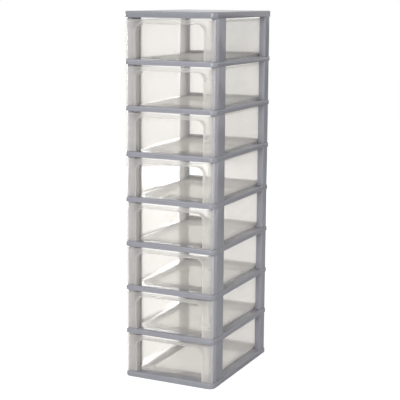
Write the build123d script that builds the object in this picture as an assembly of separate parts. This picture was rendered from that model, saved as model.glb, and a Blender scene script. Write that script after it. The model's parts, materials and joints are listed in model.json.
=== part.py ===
from build123d import *
import math
import os

# Plastic drawer tower: eight clear drawers in an open stack of grey moulded frames and hollow posts.
# +Z is up, the origin is on the floor under the middle of the tower, and the drawers open towards -Y.
# All sizes are in millimetres and all angles in degrees.

# Whole tower
LEVELS = 8
WIDTH = 262.0
DEPTH = 356.0
BASE_HEIGHT = 15.0
SHELF_HEIGHT = 13.0
TOP_HEIGHT = 16.0
BAY_HEIGHT = 106.0

# Frames: the base, the shelves and the top panel share one plan
FRONT_CORNER = 17.0
REAR_CORNER = 4.0
TOP_BREAK = 2.5
FOOT_BREAK = 1.5
SKIN = 3.0
RIB = 2.5
RUNNER_WIDTH = 18.0
OPENING_CORNER = 6.0
REAR_LIP_HEIGHT = 9.0
REAR_LIP_THICKNESS = 2.5
REAR_LIP_SETBACK = 6.0

# Posts: hollow, each with a tenon on its head that fits the frame above and the post on top of that
POST_SETBACK = 13.0
POST_INSET = 1.0
POST_THICKNESS = 17.0
POST_WALL = 2.4
POST_HEEL = 3.0
FRONT_POST_DEPTH = 52.0
FRONT_POST_ROUND = 12.0
REAR_POST_DEPTH = 35.0
REAR_POST_ROUND = 8.0
LEAST_CUT = 0.3
TENON_PLAY = 0.3
TENON_REACH = 12.0
TENON_HEADROOM = 1.0

# Drawers
DRAWER_LIFT = 0.5
DRAWER_HEADROOM = 4.0
DRAWER_REAR_PLAY = 1.0
WALL = 1.8
FLOOR = 2.2
WALL_LEAN = 0.0125
TUB_CORNER = 12.0
TUB_FOOT = 2.5
RIM_PLAY = 1.0
RIM_WIDTH = 3.0
RIM_DROP = 7.0
FASCIA_SETBACK = 3.0
FASCIA_INSET = 5.0
FASCIA_LIFT = 1.0
FASCIA_END_ROUND = 3.0
FASCIA_POST_PLAY = 1.0
RECESS_WIDTH = 192.0
RECESS_DEPTH = 22.0
RECESS_DRAFT = 4.0
RECESS_EDGE = 1.0
ARCH_CORNER = 20.0
ARCH_BAND = 11.0

# Places worked out from the sizes above
FRONT, REAR, SIDE = -DEPTH / 2, DEPTH / 2, WIDTH / 2
POST_OUTER = SIDE - POST_INSET
POST_INNER = POST_OUTER - POST_THICKNESS
FRONT_POST = (FRONT + POST_SETBACK, FRONT + POST_SETBACK + FRONT_POST_DEPTH)
REAR_POST = (REAR - POST_INSET, REAR - POST_INSET - REAR_POST_DEPTH)
OPENING_SIDE = POST_INNER - RUNNER_WIDTH
OPENING_FRONT = FRONT_POST[1] + SKIN
OPENING_REAR = REAR_POST[1] - SKIN
REAR_LIP = (REAR - REAR_LIP_SETBACK - REAR_LIP_THICKNESS, REAR - REAR_LIP_SETBACK)
FASCIA_FACE = FRONT + FASCIA_SETBACK
FASCIA_SIDE = SIDE - FASCIA_INSET
FASCIA_BACK = FRONT_POST[0] - FASCIA_POST_PLAY
DRAWER_TOP = BAY_HEIGHT - DRAWER_HEADROOM
DRAWER_REAR = REAR_LIP[0] - DRAWER_REAR_PLAY
RIM_SIDE = POST_INNER - RIM_PLAY
TUB_SIDE = RIM_SIDE - RIM_WIDTH
TUB_REAR = DRAWER_REAR - RIM_WIDTH
ARCH_TOP = DRAWER_TOP - ARCH_BAND


def rectangle(x_range, y_range):
    """A flat rectangle between its (low, high) ranges on X and Y."""
    middle = Pos(sum(x_range) / 2, sum(y_range) / 2)
    return middle * Rectangle(x_range[1] - x_range[0], y_range[1] - y_range[0])


def block(x_range, y_range, z_range):
    """A box between its (low, high) ranges on each axis."""
    return Pos(0, 0, z_range[0]) * extrude(rectangle(x_range, y_range), z_range[1] - z_range[0])


def both_sides(solid):
    """A solid on the right of the tower together with its mirror image on the left."""
    return [solid, mirror(solid, about=Plane.YZ)]


def cells(start, end, count):
    """The (low, high) ranges of equal pockets that fill a length, with a rib between each two."""
    pitch = (end - start + RIB) / count
    return [(start + i * pitch, start + (i + 1) * pitch - RIB) for i in range(count)]


# ---- Posts: each span runs on Y from the tower's corner inwards ----

def post_corner(section, y):
    """The corner of a right-hand post's section that is nearest to this place on its outer face."""
    return section.vertices().sort_by_distance((POST_OUTER, y, 0))[0]


def shaft_section(span, radius):
    """Outer section of a right-hand post, rounded towards the tower's corner and cut at its heel."""
    section = rectangle((POST_INNER, POST_OUTER), sorted(span))
    section = fillet(post_corner(section, span[0]), radius)
    return chamfer(post_corner(section, span[1]), POST_HEEL)


def core_section(span, radius, inset):
    """Section of the hollow of a post, or of what fits in it, cut across where the post is rounded."""
    y_range = (min(span) + inset, max(span) - inset)
    section = rectangle((POST_INNER + inset, POST_OUTER - inset), y_range)
    cut = max(min(radius, POST_THICKNESS / 2) - inset, LEAST_CUT)
    return chamfer(post_corner(section, span[0]), cut)


def post(span, radius, tenon_height):
    """A right-hand post with z 0 at its foot: a shaft hollow from below, a tenon hollow from above."""
    shaft = extrude(shaft_section(span, radius), BAY_HEIGHT)
    shaft -= extrude(core_section(span, radius, POST_WALL), BAY_HEIGHT - POST_WALL)
    tenon_inset = POST_WALL + TENON_PLAY
    tenon = extrude(core_section(span, radius, tenon_inset), tenon_height)
    tenon -= extrude(core_section(span, radius, tenon_inset + POST_WALL), tenon_height)
    return shaft + Pos(0, 0, BAY_HEIGHT) * tenon


# ---- Frames ----

def frame_block(height):
    """Outer form of a frame: wide front corners, and a top edge that is broken all round."""
    outline = Rectangle(WIDTH, DEPTH)
    outline = fillet(outline.vertices().group_by(Axis.Y)[0], FRONT_CORNER)
    outline = chamfer(outline.vertices().group_by(Axis.Y)[-1], REAR_CORNER)
    solid = extrude(outline, height)
    return chamfer(solid.edges().group_by(Axis.Z)[-1], TOP_BREAK)


def post_seats(inset, height):
    """Four upright pieces with z 0 at their foot, in place of the hollows of the posts."""
    front = extrude(core_section(FRONT_POST, FRONT_POST_ROUND, inset), height)
    rear = extrude(core_section(REAR_POST, REAR_POST_ROUND, inset), height)
    return both_sides(front) + both_sides(rear)


def open_frame(height):
    """A ring of four rails, pocketed from below, with a lip behind the drawer on its rear rail."""
    ring = frame_block(height)
    opening = rectangle((-OPENING_SIDE, OPENING_SIDE), (OPENING_FRONT, OPENING_REAR))
    ring -= extrude(chamfer(opening.vertices(), OPENING_CORNER), height)
    depth = (0, height - SKIN)
    for y_range in cells(OPENING_FRONT + SKIN, OPENING_REAR - SKIN, 3):
        ring -= both_sides(block((OPENING_SIDE + SKIN, SIDE - SKIN), y_range, depth))
    for x_range in cells(SKIN - POST_INNER, POST_INNER - SKIN, 3):
        ring -= block(x_range, (FRONT + SKIN, OPENING_FRONT - SKIN), depth)
        ring -= block(x_range, (OPENING_REAR + SKIN, REAR - SKIN), depth)
    return ring + block((-RIM_SIDE, RIM_SIDE), REAR_LIP, (height, height + REAR_LIP_HEIGHT))


def base_frame():
    """The frame on the floor, with four pegs inside the lowest posts and a hollow under each peg."""
    frame = open_frame(BASE_HEIGHT) - post_seats(POST_WALL + SKIN, BASE_HEIGHT - SKIN)
    frame += [Pos(0, 0, BASE_HEIGHT) * peg for peg in post_seats(POST_WALL + TENON_PLAY, TENON_REACH)]
    outer_foot = frame.faces().sort_by(Axis.Z)[0].outer_wire().edges()
    return chamfer(outer_foot, FOOT_BREAK)


def shelf_frame():
    """A frame between two bays, with four slots for the tenons of the posts below."""
    return open_frame(SHELF_HEIGHT) - post_seats(POST_WALL, SHELF_HEIGHT)


def top_panel():
    """The closed panel on top: a skin over ribbed pockets, and four sockets for the last tenons."""
    depth = (0, TOP_HEIGHT - SKIN)
    panel = frame_block(TOP_HEIGHT) - post_seats(POST_WALL, TOP_HEIGHT - SKIN)
    for x_range in cells(SKIN - POST_INNER, POST_INNER - SKIN, 3):
        for y_range in cells(FRONT + SKIN, REAR - SKIN, 4):
            panel -= block(x_range, y_range, depth)
    for y_range in cells(OPENING_FRONT, OPENING_REAR, 3):
        panel -= both_sides(block((POST_INNER, SIDE - SKIN), y_range, depth))
    return panel


# ---- Drawers, with z 0 on the frame that they slide on ----

def tub_outline(inset, corner):
    """Plan of the tub at an inset, run out in front of the fascia by the length of its round corners."""
    outline = rectangle((inset - TUB_SIDE, TUB_SIDE - inset), (FRONT - TUB_CORNER, TUB_REAR - inset))
    return fillet(outline.vertices(), corner)


def tub_form(inset, bottom, foot_cut):
    """Outside of the tub, or its inside at an inset of one wall, cut off flat at the fascia.

    Its walls lean in towards the foot, where the edge is cut across, or square with a cut of 0."""
    lean = inset + WALL_LEAN * (DRAWER_TOP - bottom)
    insets = {bottom: lean + foot_cut, bottom + foot_cut: lean, DRAWER_TOP: inset}
    plans = [Pos(0, 0, z) * tub_outline(at, TUB_CORNER - inset) for z, at in insets.items()]
    form = loft([plan.face() for plan in plans], ruled=True)
    return form & block((-SIDE, SIDE), (FASCIA_FACE + inset, REAR), (0, BAY_HEIGHT))


def arch_outline(inset):
    """The arched pull seen from the front, with square corners, doubled downwards past the drawer's foot."""
    facing_back = Plane(origin=(0, FASCIA_FACE, 0), x_dir=(1, 0, 0), z_dir=(0, 1, 0))
    return facing_back * Rectangle(RECESS_WIDTH + 2 * inset, 2 * (ARCH_TOP + inset))


def arch_recess():
    """The hollow of the arched pull, which narrows from the fascia backwards."""
    outline = arch_outline(0)
    outline = fillet(outline.vertices().group_by(Axis.Z)[-1], ARCH_CORNER)
    return extrude(outline, RECESS_DEPTH, taper=RECESS_DRAFT)


def arch_housing():
    """The outside of the wall round the arched pull, cut flat across its corners."""
    outline = arch_outline(WALL)
    tangent_cut = (ARCH_CORNER + WALL) * (2 - math.sqrt(2))
    outline = chamfer(outline.vertices().group_by(Axis.Z)[-1], tangent_cut)
    return extrude(outline, RECESS_DEPTH + WALL, taper=RECESS_DRAFT)


def rim_outline(inset):
    """Plan of the rim, which runs round the sides and back of the tub."""
    outline = rectangle((inset - RIM_SIDE, RIM_SIDE - inset), (FASCIA_FACE, DRAWER_REAR - inset))
    return fillet(outline.vertices().group_by(Axis.Y)[-1], TUB_CORNER + RIM_WIDTH - inset)


def rim():
    """The flange round the top of the tub with its edge turned down, z 0 at the lower edge."""
    return extrude(rim_outline(0), RIM_DROP) - extrude(rim_outline(WALL), RIM_DROP - WALL)


def fascia():
    """The front plate, wider than the tub, its round ends and top turned back towards the posts."""
    height = DRAWER_TOP - FASCIA_LIFT
    outline = rectangle((-FASCIA_SIDE, FASCIA_SIDE), (FASCIA_FACE, FASCIA_BACK))
    plate = extrude(fillet(outline.vertices().group_by(Axis.Y)[0], FASCIA_END_ROUND), height)
    inner_side = FASCIA_SIDE - WALL
    plate -= block((-inner_side, inner_side), (FASCIA_FACE + WALL, FASCIA_BACK), (0, height - WALL))
    return Pos(0, 0, FASCIA_LIFT) * plate


def drawer():
    """One moulding: leaning tub, turned-down rim, fascia with a wing before each post, arched pull."""
    solid = tub_form(0, DRAWER_LIFT, TUB_FOOT)
    solid += Pos(0, 0, DRAWER_TOP - RIM_DROP) * rim()
    solid += fascia()
    solid -= tub_form(WALL, DRAWER_LIFT + FLOOR, 0) - arch_housing()
    solid -= arch_recess()
    face_edges = solid.edges().group_by(Axis.Y)[0]
    inner_edges = face_edges.filter_by(lambda edge: abs(edge.center().X) < FASCIA_SIDE - FASCIA_END_ROUND)
    arch_edges = inner_edges.filter_by(lambda edge: FASCIA_LIFT < edge.center().Z < DRAWER_TOP)
    return chamfer(arch_edges, RECESS_EDGE)


# ---- Assembly ----

def bay_floor(level):
    """Height of the face that a drawer slides on, with the levels counted up from 1."""
    return BASE_HEIGHT + (level - 1) * (BAY_HEIGHT + SHELF_HEIGHT)


def level_posts(level):
    """The four posts of one level; those of the last one end inside the top panel."""
    tenon = SHELF_HEIGHT + TENON_REACH if level < LEVELS else TOP_HEIGHT - SKIN - TENON_HEADROOM
    right_posts = {
        "front": post(FRONT_POST, FRONT_POST_ROUND, tenon),
        "rear": post(REAR_POST, REAR_POST_ROUND, tenon),
    }
    posts = {}
    for end, right_post in right_posts.items():
        for side, solid in zip(("right", "left"), both_sides(right_post)):
            posts[f"post_{level}_{end}_{side}"] = Pos(0, 0, bay_floor(level)) * solid
    return posts


parts = {"base_frame": base_frame()}
shelf = shelf_frame()
for level in range(1, LEVELS):
    parts[f"shelf_{level}"] = Pos(0, 0, bay_floor(level) + BAY_HEIGHT) * shelf
parts["top_panel"] = Pos(0, 0, bay_floor(LEVELS) + BAY_HEIGHT) * top_panel()
moulded_drawer = drawer()
for level in range(1, LEVELS + 1):
    parts.update(level_posts(level))
    parts[f"drawer_{level}"] = Pos(0, 0, bay_floor(level)) * moulded_drawer

os.makedirs("parts", exist_ok=True)
for name, solid in parts.items():
    export_step(solid, f"parts/{name}.step")
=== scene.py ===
import json
import math

import bmesh
import bpy
from mathutils import Matrix, Vector

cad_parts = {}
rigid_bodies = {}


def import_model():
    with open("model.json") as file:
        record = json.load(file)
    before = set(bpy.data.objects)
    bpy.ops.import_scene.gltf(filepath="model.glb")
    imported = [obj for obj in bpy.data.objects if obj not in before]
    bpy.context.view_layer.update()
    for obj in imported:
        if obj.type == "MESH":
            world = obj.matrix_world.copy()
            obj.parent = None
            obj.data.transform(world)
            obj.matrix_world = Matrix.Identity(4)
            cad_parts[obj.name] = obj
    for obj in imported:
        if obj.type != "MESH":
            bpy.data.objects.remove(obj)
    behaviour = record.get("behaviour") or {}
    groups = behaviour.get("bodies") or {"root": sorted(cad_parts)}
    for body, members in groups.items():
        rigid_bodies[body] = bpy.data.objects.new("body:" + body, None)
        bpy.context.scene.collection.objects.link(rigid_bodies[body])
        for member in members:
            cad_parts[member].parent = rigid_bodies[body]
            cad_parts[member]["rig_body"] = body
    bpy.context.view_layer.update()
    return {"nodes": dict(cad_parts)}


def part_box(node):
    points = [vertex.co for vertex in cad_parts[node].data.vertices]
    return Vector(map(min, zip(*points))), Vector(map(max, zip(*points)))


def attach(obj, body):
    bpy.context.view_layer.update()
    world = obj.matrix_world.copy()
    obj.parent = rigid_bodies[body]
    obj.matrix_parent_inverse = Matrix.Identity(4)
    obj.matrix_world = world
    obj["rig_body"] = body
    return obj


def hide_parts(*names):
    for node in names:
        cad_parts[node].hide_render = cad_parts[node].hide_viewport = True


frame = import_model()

scene = bpy.context.scene


# ---- Camera ----
# A long lens looks at the tower's right front corner from a little above its top.
# The place and the turn are those at which the edges of base, shelves and top panel fall as photographed.

LENS = 100.2
SENSOR_WIDTH = 36.0
CAMERA_PLACE = (1.285, -2.681, 1.014)
CAMERA_TURN, CAMERA_TILT_DOWN, CAMERA_ROLL = (math.radians(angle) for angle in (25.515, 10.498, 0.366))

camera = bpy.data.objects.new("camera", bpy.data.cameras.new("camera"))
camera.data.lens = LENS
camera.data.sensor_width = SENSOR_WIDTH
camera.matrix_world = (
    Matrix.Translation(CAMERA_PLACE)
    @ Matrix.Rotation(CAMERA_TURN, 4, "Z")
    @ Matrix.Rotation(math.pi / 2 - CAMERA_TILT_DOWN, 4, "X")
    @ Matrix.Rotation(CAMERA_ROLL, 4, "Z")
)
scene.collection.objects.link(camera)
scene.camera = camera


# ---- Base frame and shelf frames ----
# Each frame is one injection moulding of silver-grey plastic: a ring of four rails, ribbed from below.
# The mould leaves a fine pebble grain, faint streaks where the plastic flowed and small round edges.

SILVER_GREY = (0.262, 0.264, 0.295, 1.0)
PALE_STREAK = (0.312, 0.314, 0.349, 1.0)
STREAK_SHARE = 0.7
GREY_ROUGHNESS = 0.22
ROUGHNESS_SPREAD = 0.10
STREAKS_ALONG_RAIL = (9.0, 9.0, 90.0)
STREAK_DETAIL = 4.0
CLOUD_SCALE = 22.0
CLOUD_DETAIL = 3.0
PEBBLE_SCALE = 950.0
PEBBLE_DETAIL = 1.0
PEBBLE_HEIGHT = 0.00004
PEBBLE_STRENGTH = 0.15
COLOUR_A, COLOUR_B, MIXED_COLOUR = 6, 7, 2
FRAME_EDGE = 0.0009
EDGE_STEPS = 2
SAME_POINT = 1e-5
SAME_PLANE = math.radians(0.2)
SHARP_EDGE = math.radians(28)


class Signal:
    """A socket in a material: sums on it add Math nodes, and any other node comes from its node method."""

    def __init__(self, tree, socket=None):
        self.tree = tree
        self.socket = socket

    def node(self, kind, settings, sockets, output=0):
        """A new node: its settings first, then the values or links of its sockets; returns one output."""
        node = self.tree.nodes.new(kind)
        for name, value in settings.items():
            setattr(node, name, value)
        for name, value in sockets.items():
            if isinstance(value, Signal):
                self.tree.links.new(value.socket, node.inputs[name])
            else:
                node.inputs[name].default_value = value
        return Signal(self.tree, node.outputs[output] if node.outputs else None)

    def noise(self, vector, scale, detail):
        return self.node("ShaderNodeTexNoise", {}, {"Vector": vector, "Scale": scale, "Detail": detail})

    def maths(self, operation, first, second):
        return self.node("ShaderNodeMath", {"operation": operation}, {0: first, 1: second})

    def __add__(self, other):
        return self.maths("ADD", self, other)

    def __sub__(self, other):
        return self.maths("SUBTRACT", self, other)

    def __rsub__(self, other):
        return self.maths("SUBTRACT", other, self)

    def __mul__(self, other):
        return self.maths("MULTIPLY", self, other)

    def __pow__(self, other):
        return self.maths("POWER", self, other)

    __radd__ = __add__
    __rmul__ = __mul__


def blank_material(name):
    """A new material with an empty node tree, and the signal that its first nodes come from."""
    material = bpy.data.materials.new(name)
    material.use_nodes = True
    material.node_tree.nodes.clear()
    return material, Signal(material.node_tree)


def grey_moulding(name, streak_scale, dark=SILVER_GREY, pale=PALE_STREAK):
    """Silver-grey plastic whose flow streaks are stretched by this scale along each axis."""
    material, start = blank_material(name)
    place = start.node("ShaderNodeTexCoord", {}, {}, "Object")
    stretched = start.node("ShaderNodeMapping", {}, {"Vector": place, "Scale": streak_scale})
    streaks = start.noise(stretched, 1.0, STREAK_DETAIL)
    clouds = start.noise(place, CLOUD_SCALE, CLOUD_DETAIL)
    pebbles = start.noise(place, PEBBLE_SCALE, PEBBLE_DETAIL)
    paleness = streaks * STREAK_SHARE + clouds * (1 - STREAK_SHARE)
    colour = start.node("ShaderNodeMix", {"data_type": "RGBA"}, {
        "Factor": paleness, COLOUR_A: dark, COLOUR_B: pale,
    }, MIXED_COLOUR)
    grain = start.node(
        "ShaderNodeBump", {}, {"Height": pebbles, "Strength": PEBBLE_STRENGTH, "Distance": PEBBLE_HEIGHT}
    )
    plastic = start.node("ShaderNodeBsdfPrincipled", {}, {
        "Base Color": colour,
        "Roughness": clouds * ROUGHNESS_SPREAD + (GREY_ROUGHNESS - ROUGHNESS_SPREAD / 2),
        "Normal": grain,
    })
    start.node("ShaderNodeOutputMaterial", {}, {"Surface": plastic})
    return material


def moulding(node, material, edge_radius):
    """The finished piece for a node of the frame: its merged faces with every sharp edge rounded."""
    form = bmesh.new()
    form.from_mesh(frame["nodes"][node].data)
    bmesh.ops.remove_doubles(form, verts=form.verts, dist=SAME_POINT)
    bmesh.ops.dissolve_limit(form, angle_limit=SAME_PLANE, verts=form.verts, edges=form.edges)
    mesh = bpy.data.meshes.new(node + "_moulding")
    form.to_mesh(mesh)
    form.free()
    mesh.materials.clear()
    mesh.materials.append(material)
    mesh.shade_smooth()
    piece = bpy.data.objects.new(node + "_moulding", mesh)
    scene.collection.objects.link(piece)
    rounding = piece.modifiers.new("round edges", "BEVEL")
    rounding.width = edge_radius
    rounding.segments = EDGE_STEPS
    rounding.limit_method = "ANGLE"
    rounding.angle_limit = SHARP_EDGE
    rounding.harden_normals = True
    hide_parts(node)
    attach(piece, frame["nodes"][node]["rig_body"])
    return piece


shelf_names = sorted(name for name in frame["nodes"] if name.startswith("shelf_"))
rail_grey = grey_moulding("rail_grey", STREAKS_ALONG_RAIL)
for name in ["base_frame"] + shelf_names:
    moulding(name, rail_grey, FRAME_EDGE)


# ---- Posts ----
# Short hollow posts of the same grey plastic, four to a level, deep and thin in plan.
# Each is pushed onto the tenon of the one below, through the frame between them.

POST_EDGE = 0.0007
STREAKS_ALONG_POST = (90.0, 90.0, 7.0)

post_grey = grey_moulding("post_grey", STREAKS_ALONG_POST)
for name in sorted(frame["nodes"]):
    if name.startswith("post_"):
        moulding(name, post_grey, POST_EDGE)


# ---- Top panel ----
# One closed moulding of the same plastic, ribbed from below, with wide round front corners.
# It is pressed onto the last four tenons and shows the widest plain face of the tower.

# The panel's two greys are the frame's grey and streak painted darker: painted shade for the dimmer light on
# its front face, not a different plastic.
PANEL_SHADED_GREY = (0.225, 0.226, 0.254, 1.0)
PANEL_SHADED_STREAK = (0.265, 0.266, 0.296, 1.0)
PANEL_EDGE = 0.0011
STREAKS_OVER_PANEL = (26.0, 7.0, 60.0)

panel_shaded_grey = grey_moulding("panel_shaded_grey", STREAKS_OVER_PANEL, PANEL_SHADED_GREY, PANEL_SHADED_STREAK)
moulding("top_panel", panel_shaded_grey, PANEL_EDGE)


# ---- Drawers ----
# Each drawer is one thin moulding of clear polypropylene that slides on the side rails of the frame below it.
# The window at the back of its arched pull is the clearest part; the face and the tub are a little milky.
# All its walls look whiter where they are seen at a slant.

MILKY_WHITE = (0.95, 0.94, 0.925, 1.0)
CLEAR_TINT = (0.985, 0.98, 0.968, 1.0)
WINDOW_OPACITY = 0.08
TUB_OPACITY = 0.22
FASCIA_OPACITY = 0.27
THROUGH_SHARE = 0.6
SLANT_OPACITY = 0.5
SLANT_POWER = 3.0
CLOUDINESS = 0.05
FASCIA_FROST_BACK, WINDOW_FRONT = -0.160, -0.155
WINDOW_BACK, TUB_FROST_FRONT = -0.151, -0.140
SLANT_BLEND = 0.5
CLEAR_ROUGHNESS = 0.24
CLEAR_ROUGHNESS_SPREAD = 0.12
FLOW_LINES = (14.0, 14.0, 60.0)
FLOW_DETAIL = 3.0
RIPPLE_SCALE = 110.0
RIPPLE_DETAIL = 2.0
RIPPLE_HEIGHT = 0.00003
RIPPLE_STRENGTH = 0.12
DRAWER_EDGE = 0.0004
HOUSING_DEPTH = 0.015
HOUSING_TURN = math.radians(45)
HOUSING_TURN_MARGIN = math.radians(4)
HOUSING_CUT = 0.018
HOUSING_STEPS = 6
ROUND_PROFILE = 0.5
WALLS_IN_LINE = 96


def clear_polypropylene():
    """Thin clear plastic: a share of the light passes straight on, the rest meets a milky surface."""
    material, start = blank_material("clear_polypropylene")
    place = start.node("ShaderNodeTexCoord", {}, {}, "Object")
    flowing = start.node("ShaderNodeMapping", {}, {"Vector": place, "Scale": FLOW_LINES})
    flow = start.noise(flowing, 1.0, FLOW_DETAIL)
    ripples = start.noise(place, RIPPLE_SCALE, RIPPLE_DETAIL)
    slant = start.node("ShaderNodeLayerWeight", {}, {"Blend": SLANT_BLEND}, "Facing")
    surface = start.node(
        "ShaderNodeBump", {}, {"Height": ripples, "Strength": RIPPLE_STRENGTH, "Distance": RIPPLE_HEIGHT}
    )
    milky = start.node("ShaderNodeBsdfPrincipled", {}, {
        "Base Color": MILKY_WHITE,
        "Roughness": flow * CLEAR_ROUGHNESS_SPREAD + (CLEAR_ROUGHNESS - CLEAR_ROUGHNESS_SPREAD / 2),
        "Normal": surface,
    })
    clear = start.node("ShaderNodeBsdfTransparent", {}, {"Color": CLEAR_TINT})
    depth = start.node("ShaderNodeSeparateXYZ", {}, {"Vector": place}, "Y")
    tub_frost = start.node("ShaderNodeMapRange", {"interpolation_type": "SMOOTHSTEP"}, {
        "Value": depth, "From Min": WINDOW_BACK, "From Max": TUB_FROST_FRONT,
        "To Min": 0.0, "To Max": TUB_OPACITY - WINDOW_OPACITY,
    })
    fascia_frost = start.node("ShaderNodeMapRange", {"interpolation_type": "SMOOTHSTEP"}, {
        "Value": depth, "From Min": FASCIA_FROST_BACK, "From Max": WINDOW_FRONT,
        "To Min": FASCIA_OPACITY - WINDOW_OPACITY, "To Max": 0.0,
    })
    frost = tub_frost + fascia_frost + (WINDOW_OPACITY - CLOUDINESS / 2)
    opacity = slant ** SLANT_POWER * SLANT_OPACITY + flow * CLOUDINESS + frost
    glow = start.node("ShaderNodeBsdfTranslucent", {}, {"Color": MILKY_WHITE})
    haze = start.node("ShaderNodeMixShader", {}, {0: THROUGH_SHARE, 1: milky, 2: glow})
    wall = start.node("ShaderNodeMixShader", {}, {0: opacity, 1: clear, 2: haze})
    start.node("ShaderNodeOutputMaterial", {}, {"Surface": wall})
    return material


def round_housing(mesh):
    """Rounds the two upper corners of the wall round the arched pull, which the node cuts flat across."""
    form = bmesh.new()
    form.from_mesh(mesh)
    middle_height = sum(vert.co.z for vert in form.verts) / len(form.verts)
    corner_edges = [
        edge for edge in form.edges
        if HOUSING_DEPTH < abs((edge.verts[0].co - edge.verts[1].co).y) < 2 * HOUSING_DEPTH
        and edge.verts[0].co.z > middle_height
        and abs(edge.calc_face_angle() - HOUSING_TURN) < HOUSING_TURN_MARGIN
    ]
    bmesh.ops.bevel(
        form, geom=corner_edges, offset=HOUSING_CUT / 2, offset_type="OFFSET", segments=HOUSING_STEPS,
        profile=ROUND_PROFILE, affect="EDGES", clamp_overlap=True,
    )
    form.to_mesh(mesh)
    form.free()
    mesh.shade_smooth()


drawer_names = sorted(name for name in frame["nodes"] if name.startswith("drawer_"))
drawer_plastic = clear_polypropylene()
for name in drawer_names:
    drawer = moulding(name, drawer_plastic, DRAWER_EDGE)
    round_housing(drawer.data)
scene.cycles.transparent_max_bounces = WALLS_IN_LINE


# ---- Arch lips ----
# A half-round lip is moulded round the mouth of each arched pull, on the face of the drawer.
# It stiffens the thin face and gives the fingers a rounded edge to pull on.

LIP_RADIUS = 0.0013
LIP_SUNK = 0.0005
LIP_SIDES = 12
ARCH_HALF_WIDTH = 0.0975
ARCH_BELOW_TOP = 0.0095
ARCH_CORNER = 0.0215
ARCH_STEPS = 10


class Grower:
    """A geometry node tree with named inputs, whose nodes come from one method, as a material's do."""

    def __init__(self, name, **inputs):
        self.tree = bpy.data.node_groups.new(name, "GeometryNodeTree")
        self.tree.interface.new_socket("Geometry", in_out="OUTPUT", socket_type="NodeSocketGeometry")
        self.tree.interface.new_socket("Geometry", in_out="INPUT", socket_type="NodeSocketGeometry")
        self.sizes = {}
        for title, value in inputs.items():
            kind = "NodeSocketInt" if isinstance(value, int) else "NodeSocketFloat"
            socket = self.tree.interface.new_socket(title, in_out="INPUT", socket_type=kind)
            self.sizes[socket.identifier] = value
        self.given = self.tree.nodes.new("NodeGroupInput").outputs

    def node(self, kind, settings, sockets):
        """A new node: its settings first, then its sockets' values or links; returns its first output."""
        node = self.tree.nodes.new(kind)
        for name, value in settings.items():
            setattr(node, name, value)
        for name, value in sockets.items():
            for source in value if isinstance(value, list) else [value]:
                if isinstance(source, bpy.types.NodeSocket):
                    self.tree.links.new(source, node.inputs[name])
                else:
                    node.inputs[name].default_value = source
        return node.outputs[0]

    def maths(self, operation, first, second):
        return self.node("ShaderNodeMath", {"operation": operation}, {0: first, 1: second})

    def vector(self, x, y, z):
        return self.node("ShaderNodeCombineXYZ", {}, {"X": x, "Y": y, "Z": z})

    def grown(self, geometry, plastic, carrier, name):
        """Ends the tree, grows it on a carrier object and returns the result as a plain piece."""
        solid = self.node("GeometryNodeRealizeInstances", {}, {"Geometry": geometry})
        coloured = self.node("GeometryNodeSetMaterial", {}, {"Geometry": solid, "Material": plastic})
        self.tree.links.new(coloured, self.tree.nodes.new("NodeGroupOutput").inputs[0])
        holder = bpy.data.objects.new("carrier", carrier)
        scene.collection.objects.link(holder)
        growth = holder.modifiers.new("growth", "NODES")
        growth.node_group = self.tree
        for identifier, value in self.sizes.items():
            growth[identifier] = value
        bpy.context.view_layer.update()
        mesh = bpy.data.meshes.new_from_object(holder.evaluated_get(bpy.context.evaluated_depsgraph_get()))
        mesh.name = name
        mesh.shade_smooth()
        bpy.data.objects.remove(holder)
        piece = bpy.data.objects.new(name, mesh)
        scene.collection.objects.link(piece)
        return piece


def arch_lip(drawer_name):
    """The lip on one drawer: a thin rod that follows the arch from foot to foot, half sunk in the face."""
    low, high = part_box(drawer_name)
    arch_top = high.z - ARCH_BELOW_TOP
    path = bpy.data.curves.new("arch", "CURVE")
    path.dimensions = "3D"
    line = path.splines.new("POLY")
    foot = low.z + 2 * LIP_RADIUS
    corners = [(-1, foot), (-1, arch_top), (1, arch_top), (1, foot)]
    line.points.add(len(corners) - 1)
    for point, (side, height) in zip(line.points, corners):
        point.co = (side * ARCH_HALF_WIDTH, low.y + LIP_SUNK, height, 1.0)
    lip = Grower("arch lip", Radius=LIP_RADIUS, Corner=ARCH_CORNER, Sides=LIP_SIDES, Steps=ARCH_STEPS)
    bent = lip.node("GeometryNodeFilletCurve", {"mode": "POLY"}, {
        "Curve": lip.given["Geometry"], "Count": lip.given["Steps"], "Radius": lip.given["Corner"],
    })
    circle = lip.node("GeometryNodeCurvePrimitiveCircle", {}, {
        "Resolution": lip.given["Sides"], "Radius": lip.given["Radius"],
    })
    rod = lip.node("GeometryNodeCurveToMesh", {}, {"Curve": bent, "Profile Curve": circle, "Fill Caps": True})
    piece = lip.grown(rod, drawer_plastic, path, drawer_name + "_arch_lip")
    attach(piece, frame["nodes"][drawer_name]["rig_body"])


for name in drawer_names:
    arch_lip(name)


# ---- Glide beads ----
# Low half-round beads moulded on the side rails, one under each side of every drawer.
# They carry the drawer's foot on a narrow line, so that it slides without rubbing on the whole rail.

BEAD_WIDTH = 0.003
BEAD_HEIGHT = 0.0004
BEAD_LENGTH = 0.235
BEAD_SIDES = 12
BEAD_TRACK = 0.200
BEAD_MIDDLE = 0.016
DRAWER_LIFT = 0.0005

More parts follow.
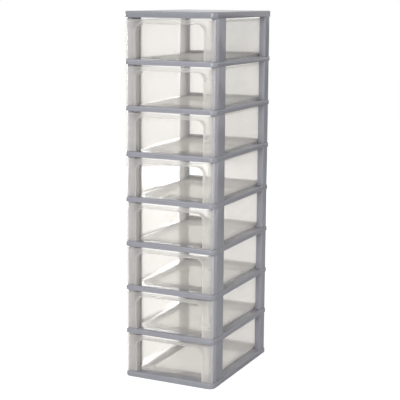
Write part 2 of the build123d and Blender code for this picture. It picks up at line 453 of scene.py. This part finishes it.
rail_tops = sorted(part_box(name)[0].z - DRAWER_LIFT for name in drawer_names)
beads = Grower(
    "glide beads",
    Width=BEAD_WIDTH, Height=BEAD_HEIGHT, Length=BEAD_LENGTH, Track=BEAD_TRACK, Middle=BEAD_MIDDLE,
    First=rail_tops[0], Pitch=rail_tops[1] - rail_tops[0], Levels=len(rail_tops), Sides=BEAD_SIDES,
)
half_length = beads.maths("MULTIPLY", beads.given["Length"], 0.5)
bead_line = beads.node("GeometryNodeCurvePrimitiveLine", {}, {
    "Start": beads.vector(0.0, beads.maths("MULTIPLY", half_length, -1.0), 0.0),
    "End": beads.vector(0.0, half_length, 0.0),
})
unit_circle = beads.node("GeometryNodeCurvePrimitiveCircle", {}, {
    "Resolution": beads.given["Sides"], "Radius": 1.0,
})
bead_section = beads.node("GeometryNodeTransform", {}, {
    "Geometry": unit_circle,
    "Scale": beads.vector(beads.maths("MULTIPLY", beads.given["Width"], 0.5), beads.given["Height"], 1.0),
})
bead = beads.node("GeometryNodeCurveToMesh", {}, {
    "Curve": bead_line, "Profile Curve": bead_section, "Fill Caps": True,
})
left_column = beads.node("GeometryNodeMeshLine", {"mode": "OFFSET"}, {
    "Count": beads.given["Levels"],
    "Start Location": beads.vector(
        beads.maths("MULTIPLY", beads.given["Track"], -0.5), beads.given["Middle"], beads.given["First"]
    ),
    "Offset": beads.vector(0.0, 0.0, beads.given["Pitch"]),
})
right_column = beads.node("GeometryNodeTransform", {}, {
    "Geometry": left_column, "Translation": beads.vector(beads.given["Track"], 0.0, 0.0),
})
both_columns = beads.node("GeometryNodeJoinGeometry", {}, {0: [left_column, right_column]})
rows = beads.node("GeometryNodeInstanceOnPoints", {}, {"Points": both_columns, "Instance": bead})
glide_beads = beads.grown(rows, rail_grey, bpy.data.meshes.new("bead carrier"), "glide_beads")
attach(glide_beads, "tower")


# ---- Floor, surroundings and lamps ----
# A plain white floor and white surroundings, seen by the camera and by gloss, with soft even light.
# The tall key lamp makes the front lighter than the right side; a narrow lamp at the right lines the corners.
# The back lamp shines through the clear drawers from behind, and the top lamp lights the top panel.

FLOOR_REACH = 30.0
FLOOR_WHITE = (0.86, 0.86, 0.86, 1.0)
FLOOR_ROUGHNESS = 0.9
PURE_WHITE = (1.0, 1.0, 1.0, 1.0)
FLOOR_GLOW = 0.7
FLOOR_GLOW_STRENGTH = 1.3
SURROUNDING_LIGHT = 0.27
TOWER_MIDDLE = (0.0, 0.0, 0.5)

floor_material, floor_start = blank_material("floor_white")
seen = floor_start.node("ShaderNodeLightPath", {}, {}, "Is Camera Ray")
paint = floor_start.node("ShaderNodeBsdfPrincipled", {}, {
    "Base Color": FLOOR_WHITE, "Roughness": FLOOR_ROUGHNESS,
})
glow = floor_start.node("ShaderNodeEmission", {}, {"Color": PURE_WHITE, "Strength": FLOOR_GLOW_STRENGTH})
floor_start.node("ShaderNodeOutputMaterial", {}, {
    "Surface": floor_start.node("ShaderNodeMixShader", {}, {0: seen * FLOOR_GLOW, 1: paint, 2: glow}),
})
floor_mesh = bpy.data.meshes.new("floor")
corners = [(x * FLOOR_REACH, y * FLOOR_REACH, 0.0) for x, y in ((-1, -1), (1, -1), (1, 1), (-1, 1))]
floor_mesh.from_pydata(corners, [], [(0, 1, 2, 3)])
floor_mesh.materials.append(floor_material)
floor = bpy.data.objects.new("floor", floor_mesh)
scene.collection.objects.link(floor)

scene.world = bpy.data.worlds.new("white_surroundings")
scene.world.use_nodes = True
scene.world.node_tree.nodes.clear()
world_start = Signal(scene.world.node_tree)
by_camera, by_gloss, transmitted = (
    world_start.node("ShaderNodeLightPath", {}, {}, f"Is {kind} Ray")
    for kind in ("Camera", "Glossy", "Transmission")
)
direct = world_start.maths("MINIMUM", by_camera + by_gloss + transmitted, 1.0)
world_start.node("ShaderNodeOutputWorld", {}, {
    "Surface": world_start.node("ShaderNodeBackground", {}, {
        "Color": PURE_WHITE, "Strength": direct * (1 - SURROUNDING_LIGHT) + SURROUNDING_LIGHT,
    }),
})


def soft_lamp(name, place, width, height, share):
    """An area lamp turned to the tower's middle, where it adds this share of full light to a white face."""
    lamp = bpy.data.objects.new(name, bpy.data.lights.new(name, "AREA"))
    towards = Vector(TOWER_MIDDLE) - Vector(place)
    lamp.data.shape = "RECTANGLE"
    lamp.data.size = width
    lamp.data.size_y = height
    lamp.data.energy = share * math.pi ** 2 * towards.length_squared
    lamp.matrix_world = Matrix.Translation(place) @ towards.to_track_quat("-Z", "Y").to_matrix().to_4x4()
    scene.collection.objects.link(lamp)


soft_lamp("key_lamp", place=(0.75, -3.4, 1.35), width=1.1, height=2.2, share=0.68)
soft_lamp("edge_lamp", place=(3.15, 0.5, 1.1), width=0.1, height=1.8, share=0.13)
soft_lamp("top_lamp", place=(-0.8, -0.8, 3.4), width=1.5, height=1.5, share=0.22)
soft_lamp("back_lamp", place=(-2.5, 2.4, 0.5), width=2.6, height=0.9, share=0.75)

scene.view_settings.view_transform = "Standard"
